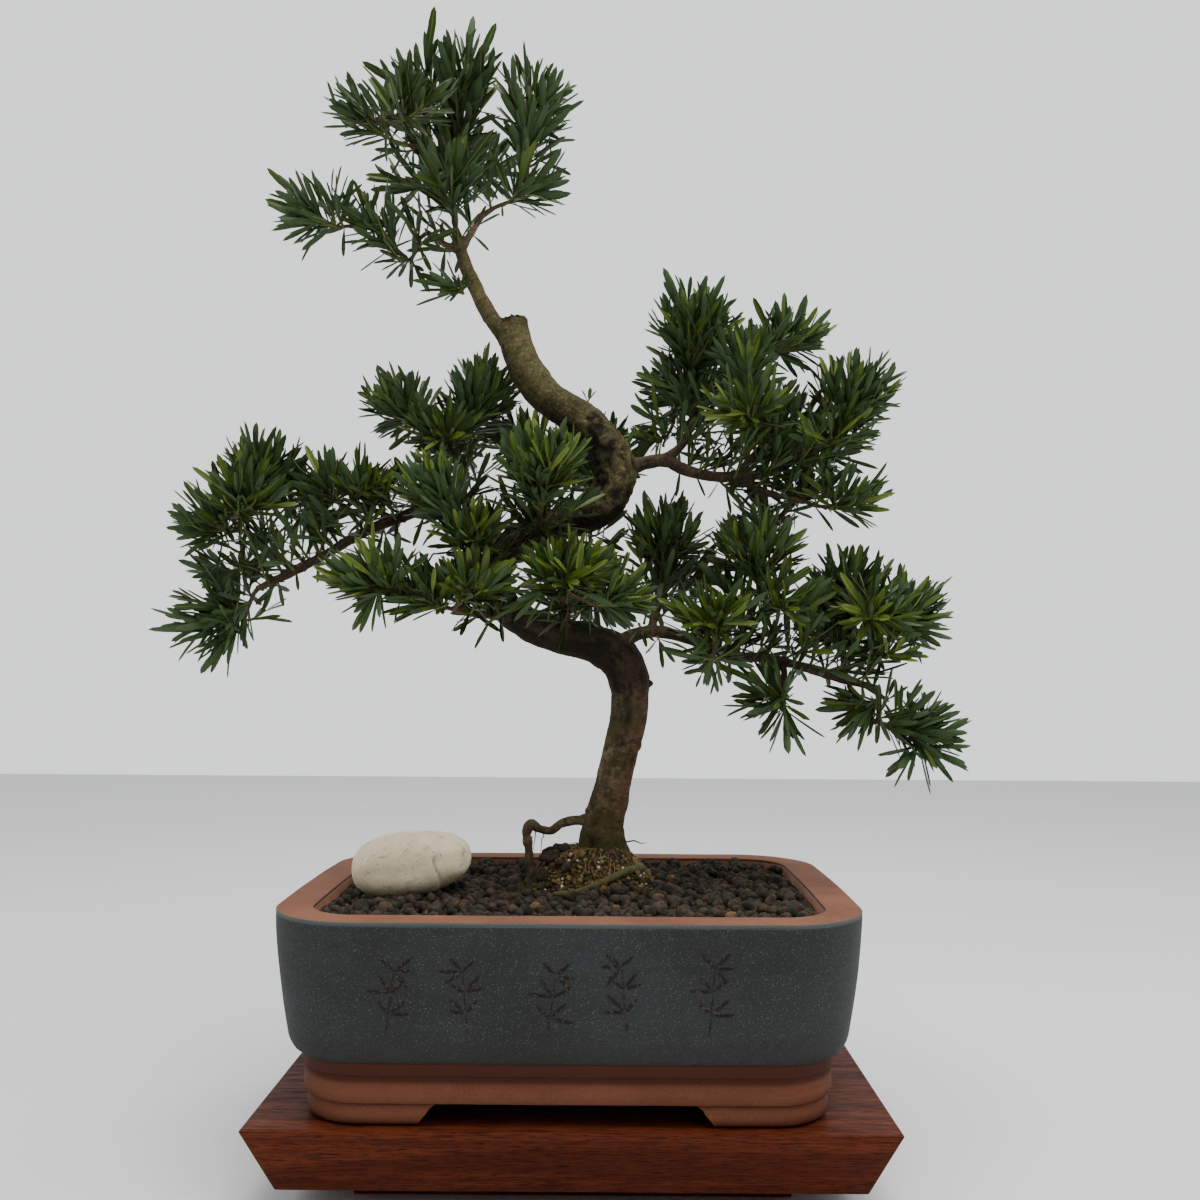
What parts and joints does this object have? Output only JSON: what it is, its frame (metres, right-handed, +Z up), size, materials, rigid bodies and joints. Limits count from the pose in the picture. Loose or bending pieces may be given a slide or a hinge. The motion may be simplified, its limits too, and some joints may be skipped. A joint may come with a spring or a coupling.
{
  "type": "buddhist pine bonsai",
  "caption": "S-curved buddhist pine bonsai with narrow-leaved pads of foliage, in a rounded rectangular stoneware pot on a low bevelled wooden stand, with an accent stone",
  "frame": {"origin": "centre of the stand's flat underside, on the surface it stands on", "axes": "+Z up, +X to the right seen from the front of the pot, -Y towards the front"},
  "size_m": [0.645, 0.303, 0.904],
  "materials": {
    "bark": "grey-brown flaky bark with olive algae and fine cross wrinkles",
    "root_moss": "exposed root under thin olive moss",
    "foliage": "glossy dark green narrow leaves, lighter on young sprays",
    "soil": "round baked clay grains with grit and moss round the trunk",
    "stone": "smooth cream-white pebble with fine pits",
    "stoneware": "unglazed blue-grey stoneware with fine pale speckles",
    "terracotta": "unglazed sandy orange-brown clay",
    "stand_wood": "satin red-brown hardwood with fine straight grain"
  },
  "bodies": {
    "root": {"trunk": "bark", "leader": "bark", "crown_left_branch": "bark", "crown_right_branch": "bark", "bough_left": "bark", "bough_left_upper": "bark", "bough_left_mid": "bark", "bough_left_outer": "bark", "bough_front_left": "bark", "bough_front_low": "bark", "bough_front_centre": "bark", "bough_centre_left": "bark", "bough_right_low": "bark", "bough_right_inner": "bark", "bough_right_low_front": "bark", "bough_right_centre": "bark", "bough_right_hanging": "bark", "bough_right_low_outer": "bark", "bough_right_upper": "bark", "bough_right_top": "bark", "bough_right_top_mid": "bark", "bough_right_mid": "bark", "bough_back": "bark", "mass_crown_top": "foliage", "mass_crown_right": "foliage", "mass_crown_left": "foliage", "mass_leader_sprig": "foliage", "mass_left_upper": "foliage", "mass_left_mid": "foliage", "mass_left_outer": "foliage", "mass_left_tip": "foliage", "mass_centre_left": "foliage", "mass_front_centre": "foliage", "mass_front_low": "foliage", "mass_front_left": "foliage", "mass_right_top": "foliage", "mass_right_top_mid": "foliage", "mass_right_top_outer": "foliage", "mass_right_mid": "foliage", "mass_right_inner": "foliage", "mass_right_centre": "foliage", "mass_right_low_front": "foliage", "mass_right_low_outer": "foliage", "mass_right_hanging": "foliage", "mass_right_tip": "foliage", "mass_back": "foliage", "arched_root": "bark", "surface_root": "root_moss", "soil": "soil", "accent_stone": "stone", "pot_rim": "terracotta", "pot_body": "stoneware", "pot_base": "terracotta", "pot_foot_front_left": "terracotta", "pot_foot_back_left": "terracotta", "pot_foot_front_right": "terracotta", "pot_foot_back_right": "terracotta", "stand_slab": "stand_wood", "stand_plinth": "stand_wood"}
  },
  "joints": []
}
